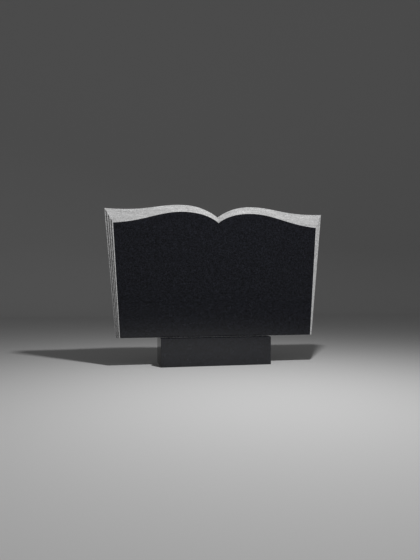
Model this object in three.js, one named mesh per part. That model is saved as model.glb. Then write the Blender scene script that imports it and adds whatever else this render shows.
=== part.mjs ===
// An open-book headstone: a granite tablet shaped as an open book, standing on a rectangular plinth.
// Millimetres, +Z up. The front faces -Y. The origin is on the ground, under the middle of the tablet.
import * as THREE from "three";

// Plinth
const plinthWidth = 595;
const plinthDepth = 200;
const plinthHeight = 150;
const plinthArris = 2;
// The tablet stands this far to the right of the middle of the plinth.
const tabletOffset = 19;

// Tablet: heights are above its foot
const beddingGap = 0.3;
const tabletThickness = 100;

// Polished front panel
const panelFootWidth = 1048;
const panelTopWidth = 1124;
const panelNotchHeight = 614.5;
const panelHumpHeight = 669.8;
const panelHumpReach = 189;
const panelCornerHeight = 602.2;

// Unpolished border that falls back round the top and the sides of the panel
const borderDepth = 30;
const borderFootWidth = 21.3;
const borderTopWidth = 44.4;
const borderNotchRise = 33.7;
const borderHumpRise = 41;
const borderHumpSpread = 5;
const borderCornerRise = 78;

// Down each side the border is a stack of pages: flats that face the front, with slopes between them.
// The flats and slopes have equal widths. Along the top the border is one plain bevel.
const pageCount = 4;

// How each half of the top swells from the notch over the hump to the corner, as shares of the run or
// the rise that it spans
const panelSwell = {
  notchRun: 0.29,
  notchRise: 0.81,
  crownRun: 0.305,
  shoulderRun: 0.34,
  edgeRun: 0.436,
  edgeRise: 0.167,
};
const backSwell = {
  notchRun: 0.33,
  notchRise: 0.766,
  crownRun: 0.322,
  shoulderRun: 0.344,
  edgeRun: 0.556,
  edgeRise: -0.355,
};
const segmentsPerSwell = 24;
const segmentsPerSide = 12;

const polishedGranite = new THREE.MeshStandardMaterial({
  color: 0x17181a,
  roughness: 0.12,
  metalness: 0,
});
const bookGranite = new THREE.MeshStandardMaterial({
  color: 0x2a2b2d,
  roughness: 0.3,
  metalness: 0,
});

// The top edge of the right-hand half, from the notch over the hump to the corner
function topEdge(size, swell) {
  const rise = size.humpHeight - size.notchHeight;
  const run = size.topHalf - size.humpReach;
  const drop = size.humpHeight - size.cornerHeight;
  const at = (x, z) => new THREE.Vector2(x, z);
  const inner = new THREE.CubicBezierCurve(
    at(0, size.notchHeight),
    at(swell.notchRun * size.humpReach, size.notchHeight + swell.notchRise * rise),
    at((1 - swell.crownRun) * size.humpReach, size.humpHeight),
    at(size.humpReach, size.humpHeight),
  );
  const outer = new THREE.CubicBezierCurve(
    at(size.humpReach, size.humpHeight),
    at(size.humpReach + swell.shoulderRun * run, size.humpHeight),
    at(size.topHalf - swell.edgeRun * run, size.cornerHeight + swell.edgeRise * drop),
    at(size.topHalf, size.cornerHeight),
  );
  return [...inner.getPoints(segmentsPerSwell), ...outer.getPoints(segmentsPerSwell).slice(1)];
}

// The right-hand side, from the foot to the corner
function sideEdge(size) {
  const points = [];
  for (let step = 0; step <= segmentsPerSide; step++) {
    const height = step / segmentsPerSide;
    const x = THREE.MathUtils.lerp(size.footHalf, size.topHalf, height);
    points.push(new THREE.Vector2(x, height * size.cornerHeight));
  }
  return points;
}

const panel = {
  footHalf: panelFootWidth / 2,
  topHalf: panelTopWidth / 2,
  notchHeight: panelNotchHeight,
  humpHeight: panelHumpHeight,
  humpReach: panelHumpReach,
  cornerHeight: panelCornerHeight,
};
const back = {
  footHalf: panel.footHalf + borderFootWidth,
  topHalf: panel.topHalf + borderTopWidth,
  notchHeight: panelNotchHeight + borderNotchRise,
  humpHeight: panelHumpHeight + borderHumpRise,
  humpReach: panelHumpReach + borderHumpSpread,
  cornerHeight: panelCornerHeight + borderCornerRise,
};
const frontY = -tabletThickness / 2;
const backY = tabletThickness / 2;

// Places across the border, from the panel outwards: across is a share of its width, and sideFall and
// topFall are how far it has fallen back there, as shares of its depth
function borderStations() {
  const bands = 2 * pageCount - 1;
  const falls = pageCount - 1;
  const stations = [];
  for (let page = 0; page < pageCount; page++) {
    for (const across of [(2 * page) / bands, (2 * page + 1) / bands]) {
      stations.push({ across, sideFall: page / falls, topFall: across });
    }
  }
  return stations;
}

// Points from the panel's edge across the border and then to the back, at one place on the outline
function crossing(panelPoint, backPoint, fallName) {
  const points = borderStations().map((station) => {
    const p = new THREE.Vector2().lerpVectors(panelPoint, backPoint, station.across);
    return new THREE.Vector3(p.x, frontY + station[fallName] * borderDepth, p.y);
  });
  const last = points[points.length - 1];
  return [...points, new THREE.Vector3(last.x, backY, last.z)];
}

// Crossings all the way from the right-hand foot over the top to the left-hand foot. The corner comes
// twice, once ending the pages and once starting the plain bevel.
function tabletCrossings() {
  const panelSide = sideEdge(panel);
  const backSide = sideEdge(back);
  const panelTop = topEdge(panel, panelSwell).reverse();
  const backTop = topEdge(back, backSwell).reverse();
  const right = [
    ...panelSide.map((p, i) => crossing(p, backSide[i], "sideFall")),
    ...panelTop.map((p, i) => crossing(p, backTop[i], "topFall")),
  ];
  const mirror = (p) => new THREE.Vector3(-p.x, p.y, p.z);
  const left = right.slice(0, -1).map((points) => points.map(mirror));
  return [...right, ...left.reverse()];
}

// The closed tablet: a skin over the crossings, and the front, back and foot as fans of triangles
// from the middle of the foot
function bookTablet() {
  const corners = [];
  const facet = (a, b, c) => {
    if (!a.equals(b) && !b.equals(c) && !c.equals(a)) {
      corners.push(a, b, c);
    }
  };
  const fan = (middle, rim) => {
    for (let i = 1; i < rim.length; i++) {
      facet(middle, rim[i - 1], rim[i]);
    }
  };
  const crossings = tabletCrossings();
  for (let i = 1; i < crossings.length; i++) {
    const here = crossings[i - 1];
    const next = crossings[i];
    for (let k = 1; k < here.length; k++) {
      facet(here[k - 1], here[k], next[k - 1]);
      facet(next[k - 1], here[k], next[k]);
    }
  }
  const frontMiddle = new THREE.Vector3(0, frontY, 0);
  const backMiddle = new THREE.Vector3(0, backY, 0);
  const rightFoot = crossings[0];
  const leftFoot = crossings[crossings.length - 1];
  fan(frontMiddle, crossings.map((points) => points[0]));
  fan(backMiddle, crossings.map((points) => points[points.length - 1]).reverse());
  fan(backMiddle, [...rightFoot].reverse().concat(frontMiddle, leftFoot));
  const geometry = new THREE.BufferGeometry().setFromPoints(corners);
  geometry.computeVertexNormals();
  return geometry;
}

// A sawn block standing on z = 0 with every arris taken off at 45 degrees
function arrisedBlock(width, depth, height, arris) {
  const halfWidth = width / 2;
  const halfDepth = depth / 2;
  const plan = new THREE.Shape([
    new THREE.Vector2(-halfWidth + arris, -halfDepth),
    new THREE.Vector2(halfWidth - arris, -halfDepth),
    new THREE.Vector2(halfWidth, -halfDepth + arris),
    new THREE.Vector2(halfWidth, halfDepth - arris),
    new THREE.Vector2(halfWidth - arris, halfDepth),
    new THREE.Vector2(-halfWidth + arris, halfDepth),
    new THREE.Vector2(-halfWidth, halfDepth - arris),
    new THREE.Vector2(-halfWidth, -halfDepth + arris),
  ]);
  const block = new THREE.ExtrudeGeometry(plan, {
    depth: height - 2 * arris,
    bevelEnabled: true,
    bevelSegments: 1,
    bevelThickness: arris,
    bevelSize: arris,
    bevelOffset: -arris,
  });
  return block.translate(0, 0, arris);
}

const headstone = new THREE.Group();

const plinth = new THREE.Mesh(
  arrisedBlock(plinthWidth, plinthDepth, plinthHeight, plinthArris),
  polishedGranite,
);
plinth.name = "plinth";
plinth.position.set(-tabletOffset, 0, 0);
headstone.add(plinth);

const tablet = new THREE.Mesh(bookTablet(), bookGranite);
tablet.name = "book_tablet";
tablet.position.set(0, 0, plinthHeight + beddingGap);
headstone.add(tablet);

export default headstone;
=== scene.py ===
import math

import bmesh
import bpy
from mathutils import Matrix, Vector, noise


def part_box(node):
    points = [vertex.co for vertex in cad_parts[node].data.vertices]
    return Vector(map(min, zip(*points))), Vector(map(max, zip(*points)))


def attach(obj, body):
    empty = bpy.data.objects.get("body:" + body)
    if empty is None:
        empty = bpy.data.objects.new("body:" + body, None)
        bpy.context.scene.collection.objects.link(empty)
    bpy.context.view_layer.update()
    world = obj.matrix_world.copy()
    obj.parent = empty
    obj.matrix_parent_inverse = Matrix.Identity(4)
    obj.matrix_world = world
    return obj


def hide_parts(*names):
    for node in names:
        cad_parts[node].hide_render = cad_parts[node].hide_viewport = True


# An open-book headstone of black granite: a polished panel with a pale unpolished border that is a plain
# bevel along the top and a stack of pages down each side, on a polished plinth. Metres; the front faces -Y.

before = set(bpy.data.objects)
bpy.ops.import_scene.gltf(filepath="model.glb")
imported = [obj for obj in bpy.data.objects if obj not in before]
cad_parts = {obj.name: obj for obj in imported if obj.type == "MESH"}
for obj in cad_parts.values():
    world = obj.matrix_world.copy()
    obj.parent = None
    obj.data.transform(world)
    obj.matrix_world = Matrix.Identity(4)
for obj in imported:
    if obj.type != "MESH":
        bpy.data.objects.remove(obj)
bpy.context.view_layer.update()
tablet_low, tablet_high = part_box("book_tablet")

# Tablet, with heights above its foot
FOOT_Z = tablet_low.z
FRONT_Y = tablet_low.y
BACK_Y = tablet_high.y
BORDER_DEPTH = 0.03
BORDER_BACK_Y = FRONT_Y + BORDER_DEPTH
PANEL = {
    "foot_half": 0.524,
    "top_half": 0.562,
    "notch": 0.6145,
    "hump": 0.6698,
    "reach": 0.189,
    "corner": 0.6022,
}
BACK = {
    "foot_half": 0.5453,
    "top_half": (tablet_high.x - tablet_low.x) / 2,
    "notch": 0.6482,
    "hump": tablet_high.z - tablet_low.z,
    "reach": 0.194,
    "corner": 0.6802,
}

# How each half of the top swells from the notch over the hump to the corner, as shares of the run or
# the rise that it spans
PANEL_SWELL = {
    "notch_run": 0.29,
    "notch_rise": 0.81,
    "crown_run": 0.305,
    "shoulder_run": 0.34,
    "edge_run": 0.436,
    "edge_rise": 0.167,
}
BACK_SWELL = {
    "notch_run": 0.33,
    "notch_rise": 0.766,
    "crown_run": 0.322,
    "shoulder_run": 0.344,
    "edge_run": 0.556,
    "edge_rise": -0.355,
}

# The sides are page flats with slopes between them, all of one width
PAGES = 4
BANDS = 2 * PAGES - 1

# Mesh density and finish of the tablet
SIDE_STEPS = 150
INNER_SWELL_STEPS = 48
OUTER_SWELL_STEPS = 80
STEPS_PER_BAND = 3
EDGE_BAND_STEPS = 14
ARRIS = 0.0005
ARRIS_SEGMENTS = 2
ROUND_PROFILE = 0.5
SHARP_ANGLE = math.radians(12)
TOLERANCE = 1e-6
WELD_DISTANCE = TOLERANCE / 10
DRESSED_RELIEF = 0.00022
DRESSED_GRAIN = 0.006
PLAIN_FOOT_HEIGHT = 2 * ARRIS

# Material numbers of the tablet's faces
POLISHED = 0
DRESSED = 1
RISER = 2

# Polished stone. A texture's scale is in cells per metre, and a tone's stops are a random value and the
# tone that it gives.
POLISHED_CRYSTALS = {"scale": 330.0, "jostle_scale": 240.0, "jostle_reach": 0.003}
FLECKS = {"Scale": 100.0, "Detail": 4.0, "Roughness": 0.75}
CLOUDS = {"Scale": 40.0, "Detail": 3.0}
CRYSTAL_TONES = (
    (0.0, (0.0004, 0.0004, 0.0007)),
    (0.35, (0.0046, 0.005, 0.0069)),
    (1.0, (0.0088, 0.0095, 0.0131)),
)
FLECK_TONES = ((0.3, 0.2), (0.5, 1.0), (0.75, (2.1, 2.1, 2.15)))
CLOUD_TONES = ((0.3, 0.8), (0.7, 1.2))
POLISHED_ROUGHNESS = ((0.0, 0.09), (1.0, 0.17))
POLISHED_IOR = 1.52

# Unpolished stone
DRESSED_CRYSTALS = {"scale": 520.0, "jostle_scale": 300.0, "jostle_reach": 0.0025}
PEPPER = {"Scale": 900.0, "Detail": 3.0, "Roughness": 0.65}
SAW_STREAKS = {"Scale": 1.0, "Detail": 3.0, "Roughness": 0.55}
SAW_STRETCH = (9.0, 30.0, 190.0)
DRESSED_TONES = ((0.0, 0.19), (0.5, 0.355), (1.0, (0.515, 0.515, 0.52)))
SAWN_TONES = ((0.3, 0.8), (0.7, 1.16))
PEPPER_TONES = ((0.3, 0.78), (0.5, 1.0), (0.75, 1.12))
DRESSED_ROUGHNESS = 0.82
DRESSED_IOR = 1.5
DRESSED_BUMP = {"Strength": 0.35, "Distance": 0.0006}
NO_PAINTED_SHADE = 1.0
# Painted shade: the page risers face away from the key lamp, and their colour is darkened to this share
RISER_PAINTED_SHADE = 0.68
JOSTLE_DETAIL = 2.0

# Sockets of a colour mix, by number because some share a name
MIX_FACTOR = 0
MIX_FIRST = 6
MIX_SECOND = 7
MIX_RESULT = 2

# The photograph's view
LENS = 31.82
SENSOR = 36.0
CAMERA_PLACE = (-0.5789, -2.6625, 0.3961)
CAMERA_PITCH = math.radians(1.264)
CAMERA_YAW = math.radians(-11.49)

# Studio
KEY_PLACE = Vector((0.165, -1.0, 1.96))
KEY_AIM = Vector((-0.4, -0.9, 0.0))
KEY_SIZE = 0.16
KEY_POWER = 28.5
FRONT_FILL_PLACE = Vector((3.2, -7.5, 0.4))
FRONT_FILL_AIM = Vector((0.0, 0.0, 0.45))
FRONT_FILL_SIZE = 0.8
FRONT_FILL_POWER = 375
AMBIENT = 0.105
FLOOR_HALF_WIDTH = 12
FLOOR_FRONT = -14
WALL_Y = 6.0
WALL_HEIGHT = 9
SWEEP_RADIUS = 1.2
SWEEP_STEPS = 16
FLOOR_TONE = 0.69
FLOOR_ROUGHNESS = 0.9
FLOOR_SPECULAR = 0.2


def bezier(points, steps):
    """Points along a cubic curve, both ends included."""
    made = []
    for step in range(steps + 1):
        t = step / steps
        weights = ((1 - t) ** 3, 3 * (1 - t) ** 2 * t, 3 * (1 - t) * t * t, t**3)
        x = sum(weight * point[0] for weight, point in zip(weights, points))
        z = sum(weight * point[1] for weight, point in zip(weights, points))
        made.append((x, z))
    return made


def page_edge(size, swell):
    """The right-hand page's top edge, from the notch over the hump to the corner."""
    rise = size["hump"] - size["notch"]
    run = size["top_half"] - size["reach"]
    drop = size["hump"] - size["corner"]
    inner = bezier(
        (
            (0, size["notch"]),
            (swell["notch_run"] * size["reach"], size["notch"] + swell["notch_rise"] * rise),
            ((1 - swell["crown_run"]) * size["reach"], size["hump"]),
            (size["reach"], size["hump"]),
        ),
        INNER_SWELL_STEPS,
    )
    outer = bezier(
        (
            (size["reach"], size["hump"]),
            (size["reach"] + swell["shoulder_run"] * run, size["hump"]),
            (
                size["top_half"] - swell["edge_run"] * run,
                size["corner"] + swell["edge_rise"] * drop,
            ),
            (size["top_half"], size["corner"]),
        ),
        OUTER_SWELL_STEPS,
    )
    return inner + outer[1:]


def side_edge(size):
    """The right-hand side from the foot to the corner."""
    made = []
    for step in range(SIDE_STEPS + 1):
        height = step / SIDE_STEPS
        x = size["foot_half"] + height * (size["top_half"] - size["foot_half"])
        made.append((x, height * size["corner"]))
    return made


def half_outline(size, swell):
    """From the right-hand foot up the side and over the page to the notch. The corner comes twice: once
    ending the pages and once starting the plain bevel."""
    return side_edge(size) + page_edge(size, swell)[::-1]


def border_stations():
    """Places across the border as (share of its width, fall on the sides, fall on the top), the falls as
    shares of its depth."""
    made = [(0.0, 0.0, 0.0)]
    for band in range(BANDS):
        page = band // 2
        slope = band % 2
        for step in range(1, STEPS_PER_BAND + 1):
            part = step / STEPS_PER_BAND
            across = (band + part) / BANDS
            made.append((across, (page + slope * part) / (PAGES - 1), across))
    return made


def is_riser(step):
    """Whether a step across the border lies on a slope between two pages."""
    band = step // STEPS_PER_BAND
    return band % 2 == 1 and band < BANDS


def tablet_rows():
    """Rows of points from the panel's edge to the back's edge, one for each place along the outline, from
    the right-hand foot over the top to the left-hand foot."""
    panel = half_outline(PANEL, PANEL_SWELL)
    back = half_outline(BACK, BACK_SWELL)
    rows = []
    for index, ((panel_x, panel_z), (back_x, back_z)) in enumerate(zip(panel, back)):
        on_side = index <= SIDE_STEPS
        row = []
        for across, side_fall, top_fall in border_stations():
            fall = side_fall if on_side else top_fall
            x = panel_x + (back_x - panel_x) * across
            z = panel_z + (back_z - panel_z) * across
            row.append(Vector((x, FRONT_Y + fall * BORDER_DEPTH, FOOT_Z + z)))
        for step in range(1, EDGE_BAND_STEPS + 1):
            y = BORDER_BACK_Y + (BACK_Y - BORDER_BACK_Y) * step / EDGE_BAND_STEPS
            row.append(Vector((back_x, y, FOOT_Z + back_z)))
        rows.append(row)
    mirrored = [[Vector((-point.x, point.y, point.z)) for point in row] for row in rows]
    return rows + mirrored[::-1]


def build_tablet():
    """The tablet as one closed mesh, with its polished faces and its unpolished border, sides and foot."""
    shape = bmesh.new()
    grid = [[shape.verts.new(point) for point in row] for row in tablet_rows()]
    for index, (row, following) in enumerate(zip(grid, grid[1:])):
        on_side = index < SIDE_STEPS or index >= len(grid) - 1 - SIDE_STEPS
        for step in range(len(row) - 1):
            corners = (row[step], following[step], following[step + 1], row[step + 1])
            face = shape.faces.new(corners)
            # Riser faces take the unpolished granite with painted shade darkening its colour
            face.material_index = RISER if on_side and is_riser(step) else DRESSED
    bmesh.ops.remove_doubles(shape, verts=shape.verts, dist=WELD_DISTANCE)
    close_faces(shape)
    bmesh.ops.recalc_face_normals(shape, faces=shape.faces)
    soften_arrises(shape)
    roughen(shape)
    many_sided = [face for face in shape.faces if len(face.verts) > 4]
    bmesh.ops.triangulate(shape, faces=many_sided, ngon_method="EAR_CLIP")
    mesh = bpy.data.meshes.new("book_tablet_stone")
    shape.to_mesh(mesh)
    shape.free()
    mesh.shade_smooth()
    mesh.set_sharp_from_angle(angle=SHARP_ANGLE)
    tablet = bpy.data.objects.new("book_tablet_stone", mesh)
    bpy.context.scene.collection.objects.link(tablet)
    return tablet


def nearest_vertex(shape, place):
    """The mesh's vertex closest to a place."""
    return min(shape.verts, key=lambda vertex: (vertex.co - place).length)


def close_faces(shape):
    """Fills the open front, back and foot, each flat: the front and back polished, the foot unpolished."""
    left_front, left_back, right_front, right_back = [
        nearest_vertex(shape, Vector((side * half_width, y, FOOT_Z)))
        for side in (-1, 1)
        for half_width, y in ((PANEL["foot_half"], FRONT_Y), (BACK["foot_half"], BACK_Y))
    ]
    shape.edges.new((left_front, right_front))
    shape.edges.new((left_back, right_back))
    open_edges = [edge for edge in shape.edges if len(edge.link_faces) < 2]
    planes = (
        (lambda vertex: abs(vertex.co.y - FRONT_Y) < TOLERANCE, POLISHED),
        (lambda vertex: abs(vertex.co.y - BACK_Y) < TOLERANCE, POLISHED),
        (lambda vertex: abs(vertex.co.z - FOOT_Z) < TOLERANCE, DRESSED),
    )
    for on_plane, finish in planes:
        rim = [edge for edge in open_edges if all(on_plane(vertex) for vertex in edge.verts)]
        made = bmesh.ops.contextual_create(shape, geom=rim)
        for face in made["faces"]:
            face.material_index = finish


def on_mitre(vertex):
    """Whether a vertex lies on the line where the pages meet the plain bevel of the top."""
    x, y, z = vertex.co
    across = (abs(x) - PANEL["top_half"]) / (BACK["top_half"] - PANEL["top_half"])
    mitre_z = FOOT_Z + PANEL["corner"] + (BACK["corner"] - PANEL["corner"]) * across
    in_border = y < BORDER_BACK_Y + TOLERANCE
    return in_border and across > -TOLERANCE and abs(z - mitre_z) < TOLERANCE


def soften_arrises(shape):
    """Takes the outer corners off, as a mason does. The mitre stays sharp."""
    arrises = [
        edge
        for edge in shape.edges
        if len(edge.link_faces) == 2
        and edge.calc_face_angle_signed() > SHARP_ANGLE
        and not all(on_mitre(vertex) for vertex in edge.verts)
    ]
    bmesh.ops.bevel(
        shape,
        geom=arrises,
        offset=ARRIS,
        offset_type="OFFSET",
        segments=ARRIS_SEGMENTS,
        profile=ROUND_PROFILE,
        affect="EDGES",
        clamp_overlap=True,
        material=DRESSED,
    )


def roughen(shape):
    """Gives the unpolished faces the slight unevenness of sawn and hand-dressed stone. It only goes
    inwards, because the noise is never over 1. Arrises and the lowest few points stay as they are."""
    shape.normal_update()
    moves = []
    for vertex in shape.verts:
        faces = vertex.link_faces
        if any(face.material_index == POLISHED for face in faces):
            continue
        if any(abs(face.normal.dot(vertex.normal)) < math.cos(SHARP_ANGLE) for face in faces):
            continue
        if vertex.co.z < FOOT_Z + PLAIN_FOOT_HEIGHT:
            continue
        grain = noise.noise(vertex.co / DRESSED_GRAIN)
        moves.append((vertex, vertex.normal * (grain - 1.0) * DRESSED_RELIEF))
    for vertex, move in moves:
        vertex.co += move


def link(tree, source, target):
    """Joins an output socket to an input socket."""
    tree.links.new(source, target)


def node(tree, kind, **values):
    """A shader node whose named inputs, or else properties, are set to the values."""
    made = tree.nodes.new(kind)
    for name, value in values.items():
        if name in made.inputs:
            made.inputs[name].default_value = value
        else:
            setattr(made, name, value)
    return made


def ramp(tree, source, stops):
    """A colour ramp over stops of a place from 0 to 1 and a tone, which is a grey or a colour."""
    made = tree.nodes.new("ShaderNodeValToRGB")
    elements = made.color_ramp.elements
    for place, _ in stops[1:-1]:
        elements.new(place)
    for element, (place, tone) in zip(elements, stops):
        element.position = place
        element.color = (*tone, 1) if isinstance(tone, tuple) else (tone, tone, tone, 1)
    link(tree, source, made.inputs["Fac"])
    return made.outputs["Color"]


def new_material(name):
    """A material with its node tree, its shader and the places on the object in metres."""
    material = bpy.data.materials.new(name)
    material.use_nodes = True
    tree = material.node_tree
    shader = tree.nodes["Principled BSDF"]
    place = tree.nodes.new("ShaderNodeTexCoord").outputs["Object"]
    return material, tree, shader, place


def stretched(tree, place, scale):
    """Places scaled by a different number along each axis."""
    made = node(tree, "ShaderNodeMapping", Scale=scale)
    link(tree, place, made.inputs["Vector"])
    return made.outputs["Vector"]


def noise_texture(tree, place, settings):
    """The outputs of a noise over the places: Fac is one random value and Color is three."""
    made = node(tree, "ShaderNodeTexNoise", **settings)
    link(tree, place, made.inputs["Vector"])
    return made.outputs


def jostled(tree, place, scale, reach):
    """Places shifted at random by up to about the reach, so that crystals lose their straight sides."""
    shift = noise_texture(tree, place, {"Scale": scale, "Detail": JOSTLE_DETAIL})
    made = node(tree, "ShaderNodeVectorMath", operation="MULTIPLY_ADD")
    share, multiplier, base = made.inputs[:3]
    link(tree, shift["Color"], share)
    multiplier.default_value = (reach, reach, reach)
    link(tree, place, base)
    return made.outputs["Vector"]


def crystals(tree, place, scale, jostle_scale, jostle_reach):
    """Random red, green and blue values, one of each for every crystal."""
    cells = node(tree, "ShaderNodeTexVoronoi", Scale=scale)
    link(tree, jostled(tree, place, jostle_scale, jostle_reach), cells.inputs["Vector"])
    channels = node(tree, "ShaderNodeSeparateColor")
    link(tree, cells.outputs["Color"], channels.inputs["Color"])
    return channels.outputs


def multiplied(tree, first, second):
    """The product of two colours. The second is a socket or a constant."""
    made = node(tree, "ShaderNodeMix", data_type="RGBA", blend_type="MULTIPLY")
    made.inputs[MIX_FACTOR].default_value = 1.0
    link(tree, first, made.inputs[MIX_FIRST])
    if isinstance(second, bpy.types.NodeSocket):
        link(tree, second, made.inputs[MIX_SECOND])
    else:
        made.inputs[MIX_SECOND].default_value = second
    return made.outputs[MIX_RESULT]


def polished_granite():
    """Black granite, polished: fine dark crystals of uneven tone, with paler flecks and faint clouds."""
    material, tree, shader, place = new_material("polished_black_granite")
    cells = crystals(tree, place, **POLISHED_CRYSTALS)
    flecks = noise_texture(tree, place, FLECKS)
    clouds = noise_texture(tree, place, CLOUDS)
    body = ramp(tree, cells["Red"], CRYSTAL_TONES)
    speckled = multiplied(tree, body, ramp(tree, flecks["Fac"], FLECK_TONES))
    coloured = multiplied(tree, speckled, ramp(tree, clouds["Fac"], CLOUD_TONES))
    link(tree, coloured, shader.inputs["Base Color"])
    link(tree, ramp(tree, cells["Green"], POLISHED_ROUGHNESS), shader.inputs["Roughness"])
    shader.inputs["IOR"].default_value = POLISHED_IOR
    return material


def dressed_granite(name, painted_shade):
    """The same granite left unpolished: pale, matt and finely grained, with faint saw streaks. A
    painted_shade under 1 darkens the colour: painted shade for faces that lie in shadow."""
    material, tree, shader, place = new_material(name)
    cells = crystals(tree, place, **DRESSED_CRYSTALS)
    pepper = noise_texture(tree, place, PEPPER)
    streaks = noise_texture(tree, stretched(tree, place, SAW_STRETCH), SAW_STREAKS)
    body = ramp(tree, cells["Red"], DRESSED_TONES)
    streaked = multiplied(tree, body, ramp(tree, streaks["Fac"], SAWN_TONES))
    peppered = multiplied(tree, streaked, ramp(tree, pepper["Fac"], PEPPER_TONES))
    # Painted shade: the colour is multiplied by a factor under 1 on faces that lie in shadow
    coloured = multiplied(tree, peppered, (painted_shade, painted_shade, painted_shade, 1))
    link(tree, coloured, shader.inputs["Base Color"])
    shader.inputs["Roughness"].default_value = DRESSED_ROUGHNESS
    shader.inputs["IOR"].default_value = DRESSED_IOR
    bump = node(tree, "ShaderNodeBump", **DRESSED_BUMP)
    link(tree, pepper["Fac"], bump.inputs["Height"])
    link(tree, bump.outputs["Normal"], shader.inputs["Normal"])
    return material


def floor_material():
    """Matt, pale and even."""
    material = bpy.data.materials.new("pale_floor")
    material.use_nodes = True
    shader = material.node_tree.nodes["Principled BSDF"]
    shader.inputs["Base Color"].default_value = (FLOOR_TONE, FLOOR_TONE, FLOOR_TONE, 1)
    shader.inputs["Roughness"].default_value = FLOOR_ROUGHNESS
    shader.inputs["Specular IOR Level"].default_value = FLOOR_SPECULAR
    return material


def build_studio():
    """A plain pale floor that sweeps up into a wall far behind."""
    side = [(FLOOR_FRONT, 0.0)]
    for step in range(SWEEP_STEPS + 1):
        turn = math.pi / 2 * step / SWEEP_STEPS
        y = WALL_Y - SWEEP_RADIUS + SWEEP_RADIUS * math.sin(turn)
        side.append((y, SWEEP_RADIUS * (1 - math.cos(turn))))
    side.append((WALL_Y, WALL_HEIGHT))
    points = [(x, y, z) for y, z in side for x in (-FLOOR_HALF_WIDTH, FLOOR_HALF_WIDTH)]
    starts = range(0, len(points) - 2, 2)
    faces = [(start, start + 1, start + 3, start + 2) for start in starts]
    mesh = bpy.data.meshes.new("studio_floor")
    mesh.from_pydata(points, [], faces)
    mesh.shade_smooth()
    mesh.materials.append(floor_material())
    floor = bpy.data.objects.new("studio_floor", mesh)
    bpy.context.scene.collection.objects.link(floor)


def area_light(name, place, aim, size, power):
    """A round lamp at a place, turned towards the aim."""
    data = bpy.data.lights.new(name, "AREA")
    data.shape = "DISK"
    data.size = size
    data.energy = power
    lamp = bpy.data.objects.new(name, data)
    lamp.location = place
    lamp.rotation_euler = (aim - place).to_track_quat("-Z", "Y").to_euler()
    bpy.context.scene.collection.objects.link(lamp)
    return lamp


def build_lights(stones):
    """A small key lamp above and in front casts the shadow, and a far fill lamp lights only the stones,
    among a little even light from all round."""
    area_light("key_light", KEY_PLACE, KEY_AIM, KEY_SIZE, KEY_POWER)
    fill = area_light("front_fill", FRONT_FILL_PLACE, FRONT_FILL_AIM, FRONT_FILL_SIZE, FRONT_FILL_POWER)
    fill.visible_glossy = False
    fill.light_linking.receiver_collection = stones
    world = bpy.data.worlds.new("studio")
    world.use_nodes = True
    backdrop = world.node_tree.nodes["Background"]
    backdrop.inputs["Color"].default_value = (1, 1, 1, 1)
    backdrop.inputs["Strength"].default_value = AMBIENT
    bpy.context.scene.world = world


def build_camera():
    """The photograph's camera."""
    data = bpy.data.cameras.new("camera")
    data.lens = LENS
    data.sensor_width = SENSOR
    camera = bpy.data.objects.new("camera", data)
    camera.location = CAMERA_PLACE
    camera.rotation_euler = (math.pi / 2 + CAMERA_PITCH, 0, CAMERA_YAW)
    bpy.context.scene.collection.objects.link(camera)
    bpy.context.scene.camera = camera


build_camera()
build_studio()
bpy.context.scene.view_settings.view_transform = "Standard"

polished = polished_granite()
dressed = dressed_granite("unpolished_granite", NO_PAINTED_SHADE)
# The risers' granite has painted shade darkening its colour
riser = dressed_granite("page_riser_granite_painted_shade", RISER_PAINTED_SHADE)

# The order follows the material numbers.
tablet = build_tablet()
tablet.data.materials.append(polished)
tablet.data.materials.append(dressed)
tablet.data.materials.append(riser)
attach(tablet, "root")
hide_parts("book_tablet")

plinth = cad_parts["plinth"]
plinth.data.materials.clear()
plinth.data.materials.append(polished)

stones = bpy.data.collections.new("stones")
stones.objects.link(tablet)
stones.objects.link(plinth)
build_lights(stones)
